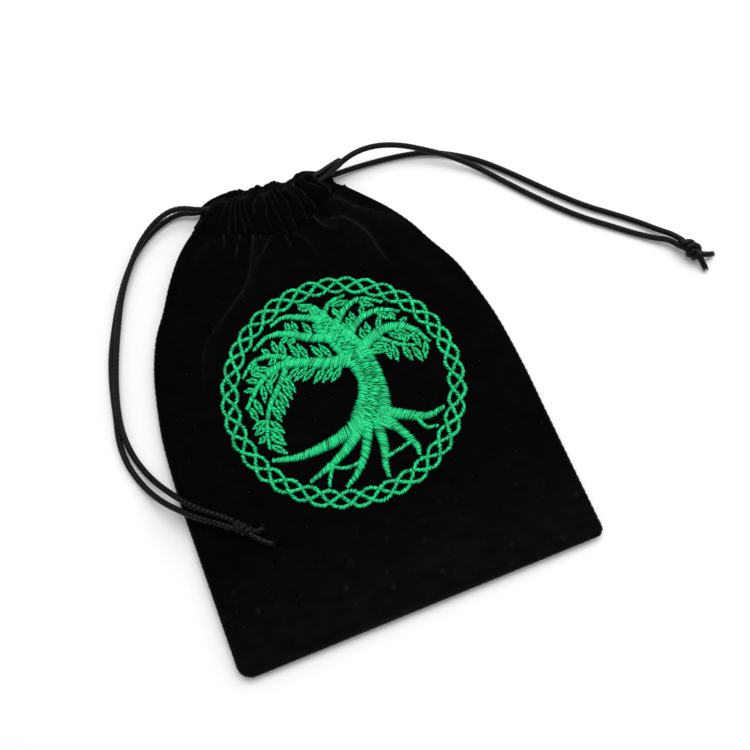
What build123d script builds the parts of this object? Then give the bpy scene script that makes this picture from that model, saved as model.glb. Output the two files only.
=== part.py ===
from build123d import *
import math
import os

# Drawstring pouch lying on its back. Millimetres. +X to the right, +Y to the mouth, +Z up.
os.makedirs("parts", exist_ok=True)

# Driving dimensions
half_length = 86.0         # seam thread to gathered top, halved
wall = 1.2                 # velvet with its woven backing
seam_height = 3.75         # where the front and back panels meet
body_height = 2 * seam_height
edge_radius = 3.6          # of the soft side edges
front_start = 72.0         # where the front panel turns over into its casing
back_start = 75.0          # the same on the back panel
casing_depth = 11.0        # of each casing along Y
casing_wall = 1.1
neck_centre = 3.6          # the gathered neck sits a little to the right
neck_half = 26.0
fold_count = 11            # gathers across the neck
fold_radius = 1.1          # of each gather at the casing
fold_end_radius = 0.25
fold_sink = 0.3            # of a gather's middle line below the cloth
fold_reach = 22.0          # mean length of the gathers, down the panel
fold_change = 7.0          # how much longer or shorter they are
fold_fan = 26.0            # how far the outer gathers spread
room = 400.0               # size of cutting boxes
front_casing_low = 9.7
front_casing_top = 14.55
back_casing_top = 5.1
casing_wave = 0.3          # height of the gathers on the casings
channel_height = 3.1
front_channel_low = 10.6
back_channel_low = 1.1
cord_diameter = 2.2
cord_gap = 0.4             # between a strand and its turn
turn_reach = 3.4           # of a cord beyond the end of its casing
front_cord_z = front_channel_low + channel_height / 2
back_cord_z = back_channel_low + channel_height / 2
thread = 0.45
stitch_length = 2.2
knot_sizes = {"left": (2.7, 7.6, 7.0), "right": (3.0, 8.8, 4.4)}    # radius, length, length of the tails
knot_fillet = 0.7
knot_gap = 0.05            # between a strand's end and its knot
motif_x = 1.6
motif_y = -5.7
motif_height = 0.6
ring_radius = 40.0         # centre line of the plaited ring
ring_swing = 2.8           # how far each strand swings to either side
ring_lobes = 12
strand_width = 1.1
field_radius = ring_radius - ring_swing - strand_width    # of the tree inside the ring
backing_radius = 45.0
backing_thickness = 0.3

# Sections of the closed bag along Y: position, middle, half width, height
sections = [
    (thread - half_length, 0.0, 63.8, 3.4),
    (-84.8, 0.0, 64.6, 4.6),
    (-82.5, 0.0, 65.0, 6.2),
    (-77.0, 0.0, 65.0, 7.2),
    (-70.0, 0.0, 65.0, body_height),
    (-20.0, 0.0, 65.0, body_height),
    (0.0, 0.0, 64.0, body_height),
    (14.0, 0.0, 61.8, body_height),
    (27.0, 0.0, 58.8, body_height),
    (39.0, 0.0, 54.2, body_height),
    (48.0, 0.0, 50.0, 8.3),
    (57.0, 0.0, 44.6, 9.8),
    (65.0, 0.0, 38.2, 11.8),
    (70.0, 0.4, 33.4, 13.2),
    (72.0, 0.8, 31.2, 13.8),
    (back_start, 1.6, 28.4, 14.2),
]

# Routes of the four free strands, from inside the casing to the knot
left_back_route = [
    (1.6, 82.3, back_cord_z), (-10.7, 82.6, back_cord_z), (-23.2, 82.7, back_cord_z),
    (-30.6, 86.0, 1.5), (-40.4, 83.4, 1.2), (-49.8, 77.0, 1.2), (-57.0, 68.2, 1.2),
    (-62.5, 58.7, 1.2), (-67.4, 48.5, 1.2), (-71.5, 38.5, 1.2), (-74.4, 28.0, 1.2),
    (-76.7, 17.0, 1.2), (-78.6, 7.0, 1.2), (-78.1, -1.8, 1.2), (-75.7, -9.9, 1.3),
    (-72.6, -16.4, 4.0), (-69.0, -22.0, 9.8), (-64.3, -27.3, 11.6), (-59.4, -31.9, 10.2),
    (-54.9, -35.1, 10.6), (-51.3, -38.7, 10.6),
]
left_front_route = [
    (1.6, 79.2, front_cord_z), (-10.7, 79.5, front_cord_z), (-23.2, 79.5, front_cord_z),
    (-30.2, 84.3, 10.4), (-39.0, 83.6, 7.4), (-47.6, 77.5, 5.3), (-54.4, 69.2, 4.6),
    (-60.1, 60.2, 4.2), (-64.6, 49.8, 4.0), (-69.0, 38.8, 4.0), (-72.6, 28.0, 4.0),
    (-75.4, 17.5, 4.0), (-76.3, 8.5, 2.6), (-75.2, 0.0, 1.3), (-73.0, -6.8, 1.4),
    (-70.2, -12.7, 4.0), (-66.9, -18.4, 9.8), (-62.7, -24.3, 11.6), (-58.3, -29.1, 10.2),
    (-53.1, -33.3, 10.6), (-49.5, -36.9, 10.6),
]
right_back_route = [
    (5.6, 78.6, back_cord_z), (17.6, 78.9, back_cord_z), (29.8, 78.9, back_cord_z),
    (38.5, 79.3, 1.8), (47.5, 79.0, 1.2), (57.5, 77.8, 1.2), (67.0, 75.6, 1.2),
    (76.2, 70.7, 1.2), (84.8, 64.2, 1.2), (92.3, 56.0, 1.2), (99.3, 47.4, 1.2),
    (106.5, 38.7, 1.2), (113.8, 30.6, 1.2), (121.6, 23.8, 1.2), (128.8, 17.2, 1.2),
    (134.8, 10.2, 2.0), (138.4, 6.1, 3.1), (140.5, 2.3, 3.1),
]
right_front_route = [
    (5.6, 75.6, front_cord_z), (17.6, 75.9, front_cord_z), (29.8, 76.0, front_cord_z),
    (37.2, 79.8, 11.6), (46.6, 80.8, 10.4), (57.0, 78.8, 8.0), (66.7, 73.9, 5.4),
    (75.2, 67.6, 5.0), (83.0, 60.8, 2.2), (89.8, 52.0, 1.2), (96.8, 42.6, 1.2),
    (103.8, 34.0, 1.2), (111.2, 26.0, 1.2), (118.8, 19.3, 1.2), (126.2, 12.6, 1.2),
    (132.2, 7.6, 2.0), (136.1, 4.9, 3.1), (138.2, 1.1, 3.1),
]

# Limbs and roots of the motif about its centre: centre line, width at each end
trunk_line = [(4.5, -15.5), (8.6, -8.0), (10.4, 0.0), (9.2, 9.0), (6.4, 17.0), (3.2, 24.5), (0.6, 33.5)]
trunk_widths = [15.0, 11.5, 9.2, 10.2, 9.6, 7.4, 3.0]
limbs = [
    ([(6.0, 9.0), (-3.0, 11.5), (-11.0, 15.0), (-19.0, 16.5), (-27.0, 12.5), (-34.0, 5.5)], 5.4, 1.2),
    ([(-11.0, 15.5), (-18.0, 20.5), (-25.5, 21.5), (-31.5, 17.0)], 2.4, 1.1),
    ([(5.0, 19.0), (-4.0, 22.5), (-11.0, 27.0), (-18.0, 28.5), (-24.5, 25.5)], 4.2, 1.1),
    ([(2.5, 27.5), (-4.0, 31.0), (-10.5, 33.5), (-15.5, 32.0)], 3.0, 1.0),
    ([(1.2, 31.0), (0.5, 34.0), (-3.5, 35.9)], 2.2, 1.0),
    ([(9.5, 10.0), (17.0, 14.5), (25.0, 15.5), (31.5, 11.5), (35.0, 5.0)], 5.2, 1.2),
    ([(8.0, 17.0), (14.0, 22.0), (22.0, 23.5), (29.5, 20.0)], 3.8, 1.1),
    ([(5.5, 22.5), (11.0, 28.0), (18.0, 30.0), (25.0, 25.8)], 3.0, 1.1),
    ([(3.0, 28.0), (7.0, 32.5), (13.0, 33.4)], 2.4, 1.0),
    ([(-15.0, 16.0), (-20.5, 9.5), (-26.5, 3.0), (-30.0, -4.5), (-31.5, -11.0)], 2.4, 1.1),
    ([(17.5, 14.6), (23.5, 8.8), (30.0, 5.5)], 2.2, 1.1),
]
roots = [
    ([(3.0, -12.0), (-6.0, -16.0), (-15.0, -17.5), (-24.0, -17.5), (-32.0, -15.5)], 5.5, 1.4),
    ([(2.0, -14.0), (-6.0, -20.5), (-14.0, -24.5), (-22.5, -27.5)], 4.4, 1.3),
    ([(3.5, -15.0), (-1.0, -24.0), (-6.0, -30.0), (-11.5, -33.8)], 4.0, 1.3),
    ([(6.5, -15.0), (5.5, -25.0), (3.5, -31.0), (3.0, -35.8)], 4.0, 1.3),
    ([(9.0, -14.5), (13.5, -23.0), (16.0, -29.0), (15.5, -32.3)], 3.8, 1.3),
    ([(9.0, -12.5), (17.0, -17.5), (24.0, -20.5), (30.0, -19.5)], 4.8, 1.4),
    ([(-13.0, -24.0), (-16.0, -29.0), (-17.0, -31.5)], 1.5, 1.1),
    ([(-3.0, -27.0), (-9.0, -27.5), (-14.0, -25.2)], 1.3, 1.1),
    ([(4.5, -29.0), (10.0, -28.0), (15.0, -26.8)], 1.3, 1.1),
    ([(19.5, -18.8), (21.5, -24.0), (25.5, -25.2)], 1.5, 1.1),
]
leaf_lengths = [6.2, 5.0, 3.9, 3.0]    # the longest that fits is used
leaf_width = 2.1
leaf_step = 3.0
leaf_angle = math.radians(52)
leaf_gap = 0.5


def gap_to_line(x, y, line):
    """Distance from a point to a line of points."""
    best = math.inf
    for (ax, ay), (bx, by) in zip(line, line[1:]):
        run = (bx - ax) ** 2 + (by - ay) ** 2
        share = ((x - ax) * (bx - ax) + (y - ay) * (by - ay)) / run
        share = min(1.0, max(0.0, share))
        best = min(best, math.hypot(x - ax - share * (bx - ax), y - ay - share * (by - ay)))
    return best


def leaf_fits(x, y, own, leaves):
    """Whether a leaf may reach a point: clear of the ring, the trunk, other limbs and other leaves."""
    if math.hypot(x, y) > field_radius - 0.6:
        return False
    if gap_to_line(x, y, trunk_line) < 6.0 - 0.12 * max(0.0, y - 5.0):
        return False
    for number, (line, start, finish) in enumerate(limbs):
        if number != own and gap_to_line(x, y, line) < 0.3 * start + 0.8:
            return False
    for foot_x, foot_y, lean, length in leaves:
        middle_x = foot_x + length / 2 * math.cos(lean)
        middle_y = foot_y + length / 2 * math.sin(lean)
        if math.hypot(x - middle_x, y - middle_y) < leaf_width + 0.2:
            return False
    return True


def leaf_places():
    """Leaves in pairs along the limbs: foot, direction and length of each."""
    leaves = []
    for own, (line, start, finish) in enumerate(limbs):
        for index, (before, after) in enumerate(zip(line, line[1:])):
            angle = math.atan2(after[1] - before[1], after[0] - before[0])
            count = max(1, round(math.dist(before, after) / leaf_step))
            for step in range(count):
                share = (step + 0.5) / count
                half = (start + (finish - start) * (index + share) / (len(line) - 1)) / 2
                for side in (1, -1):
                    lean = angle + side * leaf_angle
                    x = before[0] + share * (after[0] - before[0]) + (half + leaf_gap) * math.cos(lean)
                    y = before[1] + share * (after[1] - before[1]) + (half + leaf_gap) * math.sin(lean)
                    for length in leaf_lengths:
                        tip = (x + length * math.cos(lean), y + length * math.sin(lean))
                        middle = (x + length / 2 * math.cos(lean), y + length / 2 * math.sin(lean))
                        if leaf_fits(*tip, own, leaves) and leaf_fits(*middle, own, leaves):
                            leaves.append((x, y, lean, length))
                            break
    return leaves


def height_at(y):
    """Height of the bag above the table at y."""
    for low, high in zip(sections, sections[1:]):
        if y <= high[0]:
            share = (y - low[0]) / (high[0] - low[0])
            return low[3] + share * (high[3] - low[3])
    return sections[-1][3]


def middle_z(height):
    """The bag's thin parts are level with the seam, and the neck stands on the table."""
    return max(seam_height, height / 2)


def bag_loft(inset, rows):
    """Closed body through rounded sections, smaller all round by inset."""
    with BuildPart() as body:
        for y, middle, half, height in rows:
            plane = Plane(origin=(middle, y, middle_z(height)), x_dir=(1, 0, 0), z_dir=(0, 1, 0))
            with BuildSketch(plane):
                tall = height - 2 * inset
                radius = min(0.45 * tall, edge_radius - inset)
                RectangleRounded(2 * (half - inset), tall, radius)
        loft(ruled=True)
    return body.part


def round_cord(points, diameter=cord_diameter):
    """Tube along straight runs joined by tangent arcs as large as the runs allow."""
    nodes = [Vector(*point) for point in points]
    radii = []
    for before, here, after in zip(nodes, nodes[1:], nodes[2:]):
        turn = math.radians((here - before).get_angle(after - here))
        shorter = min((here - before).length, (after - here).length)
        radii.append(0.45 * shorter / math.tan(turn / 2))
    with BuildPart() as tube:
        with BuildLine() as path:
            FilletPolyline(*points, radius=radii)
        with BuildSketch(Plane(origin=path.line @ 0, z_dir=path.line % 0)):
            Circle(diameter / 2)
        sweep()
    length = sum(edge.length for edge in path.edges())
    expected = math.pi * diameter ** 2 / 4 * length
    print("radii", [round(radius, 1) for radius in radii])
    print("length", round(length, 1), "volume ratio", round(tube.part.volume / expected, 4))
    return tube.part


def save(part, name):
    part.label = name
    export_step(part, "parts/" + name + ".step")
    print(name, len(part.solids()), "solid(s)", round(part.volume, 1), "mm3")


# Front and back panels: one hollow body with gathers at its neck, split level with the seam
with BuildPart() as shell:
    add(bag_loft(0.0, sections))
    for fold in range(fold_count):
        share = (fold + 0.5) / fold_count - 0.5
        top_x = neck_centre + 2 * neck_half * share
        length = fold_reach + fold_change * math.cos(3.0 * fold)
        low_y = front_start - length
        low_x = top_x + fold_fan * share
        start = Vector(top_x, front_start, height_at(front_start) - fold_sink)
        finish = Vector(low_x, low_y, height_at(low_y) - fold_sink)
        along = (finish - start).length
        with Locations(Plane(origin=start, z_dir=finish - start)):
            Cone(fold_radius, fold_end_radius, along, align=(Align.CENTER, Align.CENTER, Align.MIN))
    inner_rows = sections[1:]
    inner_rows[-1] = (back_start + 1.0,) + inner_rows[-1][1:]
    add(bag_loft(wall, inner_rows), mode=Mode.SUBTRACT)

with BuildPart() as front_panel:
    add(shell.part)
    with Locations((0, front_start, seam_height)):
        Box(room, room, room, align=(Align.CENTER, Align.MAX, Align.MIN), mode=Mode.INTERSECT)
save(front_panel.part, "front_panel")

with BuildPart() as back_panel:
    add(shell.part)
    with Locations((0, 0, seam_height)):
        Box(room, room, room, align=(Align.CENTER, Align.CENTER, Align.MAX), mode=Mode.INTERSECT)
save(back_panel.part, "back_panel")


def wave_points(y0, height, sign):
    """Points of a gathered edge, with crests of one height."""
    steps = 6 * fold_count
    points = []
    for step in range(steps + 1):
        share = step / steps
        x = neck_centre - neck_half + 2 * neck_half * share
        points.append((x, y0 + sign * height * math.cos(2 * math.pi * fold_count * share)))
    return points


def casing(low_y, low_z, top_z, channel_low, gathers_up):
    """Turned-over hem with a channel through it, gathered on its outer side and its rim."""
    left = neck_centre - neck_half
    right = neck_centre + neck_half
    high_y = low_y + casing_depth
    with BuildPart() as hem:
        with BuildSketch(Plane.XY.offset(-5)):
            with BuildLine():
                rim = Spline(*wave_points(high_y - casing_wave, casing_wave, 1))
                Polyline(rim @ 0, (left, low_y), (right, low_y), rim @ 1)
            make_face()
        extrude(amount=30)
        with BuildSketch(Plane.XZ.offset(-low_y)):
            with BuildLine():
                if gathers_up:
                    crest = Spline(*wave_points(top_z, casing_wave, 1))
                    Polyline(crest @ 0, (left, low_z), (right, low_z), crest @ 1)
                else:
                    crest = Spline(*wave_points(low_z + casing_wave, casing_wave, 1))
                    Polyline(crest @ 0, (left, top_z), (right, top_z), crest @ 1)
            make_face()
        extrude(amount=-casing_depth, mode=Mode.INTERSECT)
        with BuildSketch(Plane.XZ.offset(-low_y - casing_wall)):
            with Locations((neck_centre, channel_low + channel_height / 2)):
                Rectangle(4 * neck_half, channel_height)
        extrude(amount=-(casing_depth - 2 * casing_wall - casing_wave), mode=Mode.SUBTRACT)
    return hem.part


front_casing = casing(front_start, front_casing_low, front_casing_top, front_channel_low, True)
save(front_casing, "front_casing")
back_casing = casing(back_start, 0.0, back_casing_top, back_channel_low, False)
save(back_casing, "back_casing")

# Seam thread: a thin line in the groove where the two panels meet, on three sides
outline_left = [(middle - half, y) for y, middle, half, height in sections]
outline_right = [(middle + half, y) for y, middle, half, height in sections]
with BuildPart() as seam_line:
    with BuildSketch(Plane.XY.offset(seam_height - thread / 2)) as seam_sketch:
        with BuildLine():
            Polyline(*outline_left, *reversed(outline_right), close=True)
        make_face()
        offset(amount=thread, kind=Kind.INTERSECTION)
    extrude(amount=thread)
    add(bag_loft(0.0, sections), mode=Mode.SUBTRACT)
seam_ends = half_length - 2.0
for name, x, y, wide, long in (
    ("left_seam_thread", -100, -seam_ends, 100, seam_ends + front_start - 4),
    ("right_seam_thread", 0, -seam_ends, 100, seam_ends + front_start - 4),
    ("bottom_seam_thread", -100, -seam_ends - 20, 200, 20),
):
    with BuildPart() as piece:
        add(seam_line.part)
        with Locations((x, y, 0)):
            Box(wide, long, 30, align=(Align.MIN, Align.MIN, Align.MIN), mode=Mode.INTERSECT)
    save(piece.part, name)


def stitch_row(y, z, name):
    """Row of lockstitches along the foot of a casing, one between each two gathers."""
    with BuildPart() as row:
        for fold in range(fold_count - 1):
            share = (fold + 1) / fold_count
            x = neck_centre - neck_half + 2 * neck_half * share
            with Locations((x, y, z)):
                Box(stitch_length, thread, thread, align=(Align.CENTER, Align.MAX, Align.CENTER))
        add(shell.part, mode=Mode.SUBTRACT)
    save(row.part, name)


stitch_row(front_start, height_at(front_start), "front_casing_stitches")
stitch_row(back_start, wall + thread / 2, "back_casing_stitches")

# Embroidery backing, flat against the front panel's inner side
with BuildPart() as backing:
    with Locations((motif_x, motif_y, body_height - wall)):
        Cylinder(backing_radius, backing_thickness, align=(Align.CENTER, Align.CENTER, Align.MAX))
save(backing.part, "embroidery_backing")


def stroke_outline(line, widths):
    """Outline of a tapered stroke: its two sides, as points."""
    left = []
    right = []
    for index, (x, y) in enumerate(line):
        ahead = line[min(index + 1, len(line) - 1)]
        behind = line[max(index - 1, 0)]
        angle = math.atan2(ahead[1] - behind[1], ahead[0] - behind[0])
        side_x = -math.sin(angle) * widths[index] / 2
        side_y = math.cos(angle) * widths[index] / 2
        left.append((x + side_x, y + side_y))
        right.append((x - side_x, y - side_y))
    return left, right


def stroke(line, widths, mode=Mode.ADD):
    """Face of a tapered stroke with smooth sides, in the sketch being built."""
    left, right = stroke_outline(line, widths)
    with BuildSketch(mode=Mode.PRIVATE) as shape:
        with BuildLine():
            first = Spline(*left)
            second = Spline(*right)
            Line(first @ 0, second @ 0)
            Line(first @ 1, second @ 1)
        make_face()
    add(shape.sketch, mode=mode)


def taper(line, start, finish):
    """Widths from start to finish along a line of points."""
    last = len(line) - 1
    return [start + (finish - start) * index / last for index in range(last + 1)]


def plait_loop(phase, side):
    """Closed loop of points along one side of a strand of the ring."""
    steps = 10 * ring_lobes
    points = []
    for step in range(steps):
        angle = 2 * math.pi * step / steps
        swing = ring_swing * math.sin(ring_lobes * angle + phase)
        slope = ring_swing * ring_lobes * math.cos(ring_lobes * angle + phase) / ring_radius
        tilt = math.atan(slope)
        radius = ring_radius + swing + side * strand_width / 2 * math.cos(tilt)
        turned = angle - side * strand_width / 2 * math.sin(tilt) / ring_radius
        points.append((radius * math.cos(turned), radius * math.sin(turned)))
    return points


def ring_sketch():
    """The whole plaited ring, three strands a third of a lobe apart."""
    strands = []
    for strand in range(3):
        phase = 2 * math.pi * strand / 3
        with BuildSketch() as band:
            with BuildLine():
                Polyline(*plait_loop(phase, 1), close=True)
            make_face()
            with BuildLine():
                Polyline(*plait_loop(phase, -1), close=True)
            make_face(mode=Mode.SUBTRACT)
        strands.append(band.sketch)
    with BuildSketch() as ring:
        for band in strands:
            add(band)
    return ring.sketch


def leaf_sketch():
    """Every leaf as an oval."""
    with BuildSketch() as leaves:
        for x, y, lean, length in leaf_places():
            with Locations(Location((x, y, 0), math.degrees(lean))):
                with Locations((length / 2, 0)):
                    Ellipse(length / 2, leaf_width / 2)
    return leaves.sketch


def embroidered(sketch, name):
    """Raised satin stitching over a flat sketch."""
    with BuildPart() as piece:
        with BuildSketch(Plane(origin=(motif_x, motif_y, body_height))):
            add(sketch)
        extrude(amount=motif_height)
    save(piece.part, name)


ring_shape = ring_sketch()
with BuildSketch() as trunk_shape:
    stroke(trunk_line, trunk_widths)
with BuildSketch() as root_shape:
    for line, start, finish in roots:
        stroke(line, taper(line, start, finish))
    Circle(field_radius, mode=Mode.INTERSECT)
    add(trunk_shape.sketch, mode=Mode.SUBTRACT)
with BuildSketch() as branch_shape:
    for line, start, finish in limbs:
        stroke(line, taper(line, start, finish))
    Circle(field_radius, mode=Mode.INTERSECT)
    add(trunk_shape.sketch, mode=Mode.SUBTRACT)
with BuildSketch() as leaf_shape:
    add(leaf_sketch())
    Circle(field_radius, mode=Mode.INTERSECT)
    add(branch_shape.sketch, mode=Mode.SUBTRACT)
    add(trunk_shape.sketch, mode=Mode.SUBTRACT)
embroidered(ring_shape, "embroidery_ring")
embroidered(trunk_shape.sketch, "embroidery_trunk")
embroidered(root_shape.sketch, "embroidery_roots")
embroidered(branch_shape.sketch, "embroidery_branches")
embroidered(leaf_shape.sketch, "embroidery_leaves")


def knot(middle, direction, radius, length, name):
    """Overhand knot as a barrel, flat where the strands enter."""
    with BuildPart(Plane(origin=middle, z_dir=direction)) as barrel:
        Cylinder(radius, length)
        fillet(barrel.edges().filter_by(GeomType.CIRCLE), knot_fillet)
    save(barrel.part, name)


def tails(end, direction, length, name):
    """Two cut cord ends beyond a knot."""
    across = Vector(-direction.Y, direction.X, 0)
    with BuildPart() as ends:
        for side in (1, -1):
            start = end + across * (side * cord_diameter * 0.6)
            with Locations(Plane(origin=start, z_dir=direction)):
                Cylinder(cord_diameter / 2, length, align=(Align.CENTER, Align.CENTER, Align.MIN))
    save(ends.part, name)


for side, back_route, front_route in (
    ("left", left_back_route, left_front_route),
    ("right", right_back_route, right_front_route),
):
    print(side)
    knot_radius, knot_length, tail_length = knot_sizes[side]
    save(round_cord(back_route), side + "_cord_back_strand")
    save(round_cord(front_route), side + "_cord_front_strand")
    end_middle = (Vector(*back_route[-1]) + Vector(*front_route[-1])) * 0.5
    before_middle = (Vector(*back_route[-2]) + Vector(*front_route[-2])) * 0.5
    direction = Vector(end_middle.X - before_middle.X, end_middle.Y - before_middle.Y, 0).normalized()
    knot_start = end_middle + direction * knot_gap
    knot_middle = knot_start + direction * (knot_length / 2)
    knot(knot_middle, direction, knot_radius, knot_length, side + "_knot")
    tails(knot_start + direction * knot_length, direction, tail_length, side + "_cord_tails")


def turn_route(inner_x, outer_x, back_y, front_y, front_end_y):
    """A cord's fixed half: through the back casing, round its far end and back along the front."""
    way = math.copysign(1.0, outer_x - inner_x)
    middle_x = (inner_x + outer_x) / 2
    bend_x = outer_x + way * turn_reach
    drop = (front_cord_z - back_cord_z) / 3
    return [
        (inner_x, back_y, back_cord_z),
        (middle_x, back_y - 0.2, back_cord_z),
        (outer_x, back_y, back_cord_z),
        (bend_x, (2 * back_y + front_end_y) / 3, back_cord_z + drop),
        (bend_x, (back_y + 2 * front_end_y) / 3, front_cord_z - drop),
        (outer_x, front_end_y, front_cord_z),
        (middle_x, (front_y + front_end_y) / 2 + 0.2, front_cord_z),
        (inner_x, front_y, front_cord_z),
    ]


print("turns")
casing_left = neck_centre - neck_half
casing_right = neck_centre + neck_half
left_inner = left_back_route[0][0] + cord_gap
right_inner = right_back_route[0][0] - cord_gap
save(round_cord(turn_route(left_inner, casing_right + 0.6, 82.4, 79.2, 80.2)), "left_cord_turn")
save(round_cord(turn_route(right_inner, casing_left - 0.6, 78.6, 75.6, 75.4)), "right_cord_turn")
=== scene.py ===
import math

import bpy
import numpy as np
from mathutils import Matrix, Vector


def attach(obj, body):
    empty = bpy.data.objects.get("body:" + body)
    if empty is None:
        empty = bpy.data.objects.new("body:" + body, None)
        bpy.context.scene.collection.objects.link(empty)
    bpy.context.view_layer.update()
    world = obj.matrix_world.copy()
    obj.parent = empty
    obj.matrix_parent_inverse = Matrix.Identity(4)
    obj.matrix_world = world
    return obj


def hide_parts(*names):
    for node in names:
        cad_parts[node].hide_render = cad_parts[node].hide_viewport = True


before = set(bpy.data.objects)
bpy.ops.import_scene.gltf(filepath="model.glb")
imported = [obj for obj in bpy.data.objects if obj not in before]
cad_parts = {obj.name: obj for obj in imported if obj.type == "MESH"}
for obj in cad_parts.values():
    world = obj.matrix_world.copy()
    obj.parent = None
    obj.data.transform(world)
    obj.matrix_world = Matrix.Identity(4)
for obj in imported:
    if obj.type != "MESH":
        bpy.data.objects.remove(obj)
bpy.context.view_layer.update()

# Everything below is laid out in millimetres and written to the meshes in metres.
MM = 0.001
rng = np.random.default_rng(11)

# The bottom seam, the cloth's thickness, and the centre of the embroidery
bottom_y = -86.0
wall = 1.1
motif_x = 1.6
motif_y = -5.7


def add_object(name, data):
    made = bpy.data.objects.new(name, data)
    bpy.context.scene.collection.objects.link(made)
    return made


# ---- camera

camera_place = (-29.43, -134.61, 367.65)
focal_length = 52.403
look_elevation = math.radians(69.257)
look_turn = math.radians(-18.477)
look_roll = math.radians(-3.518)


def make_camera():
    """Camera above and in front of the bag, rolled slightly."""
    forward = Vector((-math.sin(look_turn) * math.cos(look_elevation),
                      math.cos(look_turn) * math.cos(look_elevation),
                      -math.sin(look_elevation)))
    level_right = Vector((math.cos(look_turn), math.sin(look_turn), 0.0))
    level_up = level_right.cross(forward)
    right = level_right * math.cos(look_roll) + level_up * math.sin(look_roll)
    up = level_up * math.cos(look_roll) - level_right * math.sin(look_roll)
    data = bpy.data.cameras.new("camera")
    data.lens = focal_length
    data.sensor_width = 36.0
    data.clip_start = 0.01
    data.clip_end = 20.0
    camera = add_object("camera", data)
    turn = Matrix((right, up, -forward)).transposed().to_4x4()
    camera.matrix_world = Matrix.Translation(Vector(camera_place) * MM) @ turn
    bpy.context.scene.camera = camera


make_camera()

# ---- helpers


def smooth_line(points, steps):
    """Points along a cubic curve through the given points."""
    p = np.array(points, float)
    p = np.vstack([2 * p[0] - p[1], p, 2 * p[-1] - p[-2]])
    made = []
    for i in range(1, len(p) - 2):
        t = np.linspace(0, 1, steps, endpoint=False)[:, None]
        a, b, c, d = p[i - 1], p[i], p[i + 1], p[i + 2]
        made.append(0.5 * (2 * b + (c - a) * t + (2 * a - 5 * b + 4 * c - d) * t ** 2
                           + (3 * b - a - 3 * c + d) * t ** 3))
    made.append(p[-2][None, :])
    return np.vstack(made)


def lookup(table, at):
    """Smooth value at any place, from a table of (place, value)."""
    line = smooth_line(table, 12)
    order = np.argsort(line[:, 0], kind="stable")
    return np.interp(at, line[order, 0], line[order, 1])


def ease(t):
    t = np.clip(t, 0, 1)
    return t * t * (3 - 2 * t)


def unit(vectors):
    return vectors / np.maximum(np.linalg.norm(vectors, axis=-1, keepdims=True), 1e-9)


def distance_along(line):
    return np.concatenate([[0], np.cumsum(np.linalg.norm(np.diff(line, axis=0), axis=1))])


def mesh_piece(name, node, points, faces, slot, body="bag"):
    """Object from points in millimetres and faces, which replaces a CAD node and rides on its body."""
    mesh = bpy.data.meshes.new(name)
    mesh.from_pydata((np.asarray(points, float) * MM).tolist(), [], faces)
    mesh.validate()
    mesh.polygons.foreach_set("use_smooth", [True] * len(mesh.polygons))
    mesh.update()
    mesh.materials.append(materials[slot])
    piece = add_object(name, mesh)
    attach(piece, body)
    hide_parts(node)
    return piece


def grid_faces(rows, columns, start=0, flip=False):
    """Quads of a grid of points stored row by row."""
    index = np.arange(rows * columns).reshape(rows, columns) + start
    quads = np.stack([index[:-1, :-1], index[:-1, 1:], index[1:, 1:], index[1:, :-1]], -1)
    quads = quads.reshape(-1, 4)
    return quads[:, ::-1] if flip else quads


def closed_sheet(outer, inner):
    """Points and faces of a sheet with two sides and a closed border."""
    rows, columns = outer.shape[:2]
    count = rows * columns
    points = np.vstack([outer.reshape(-1, 3), inner.reshape(-1, 3)])
    faces = [grid_faces(rows, columns), grid_faces(rows, columns, count, True)]
    index = np.arange(count).reshape(rows, columns)
    border = np.concatenate([index[0, :], index[1:, -1], index[-1, -2::-1], index[-2:0:-1, 0]])
    after = np.roll(border, -1)
    faces.append(np.stack([after, border, border + count, after + count], -1))
    return points, np.vstack(faces).tolist()


def grid_normals(points):
    return unit(np.cross(np.gradient(points, axis=1), np.gradient(points, axis=0)))


def bend(points):
    """How sharply a grid of points is folded outward, per millimetre."""
    normals = grid_normals(points)
    if normals[..., 2].mean() < 0:
        normals = -normals
    made = np.zeros(points.shape[:2])
    for axis in (0, 1):
        step = np.gradient(points, axis=axis)
        turn = np.gradient(normals, axis=axis)
        made = np.maximum(made, (step * turn).sum(-1) / np.maximum((step ** 2).sum(-1), 0.02))
    return made


def store(piece, name, values):
    """Keep a value for each point of a piece, for its material to read."""
    piece.data.attributes.new(name, "FLOAT", "POINT").data.foreach_set("value", values.astype(np.float32))


def paint_crest_highlights(piece, points, low, high, extra):
    """Store a painted highlight for the velvet where a piece's outer side is folded outward, at least as
    strong as extra.
    """
    fold = np.maximum(ease((bend(points) - low) / (high - low)), extra)
    values = np.zeros(len(piece.data.vertices))
    values[:fold.size] = fold.reshape(-1)
    # The crest value is a painted highlight for the velvet's base colour
    store(piece, "crest", values)


def ring_quads(rings, sides):
    """Quads between closed rings of points."""
    index = np.arange(rings * sides).reshape(rings, sides)
    ahead = np.roll(index, -1, axis=1)
    return np.stack([index[:-1], index[1:], ahead[1:], ahead[:-1]], -1).reshape(-1, 4)


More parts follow.
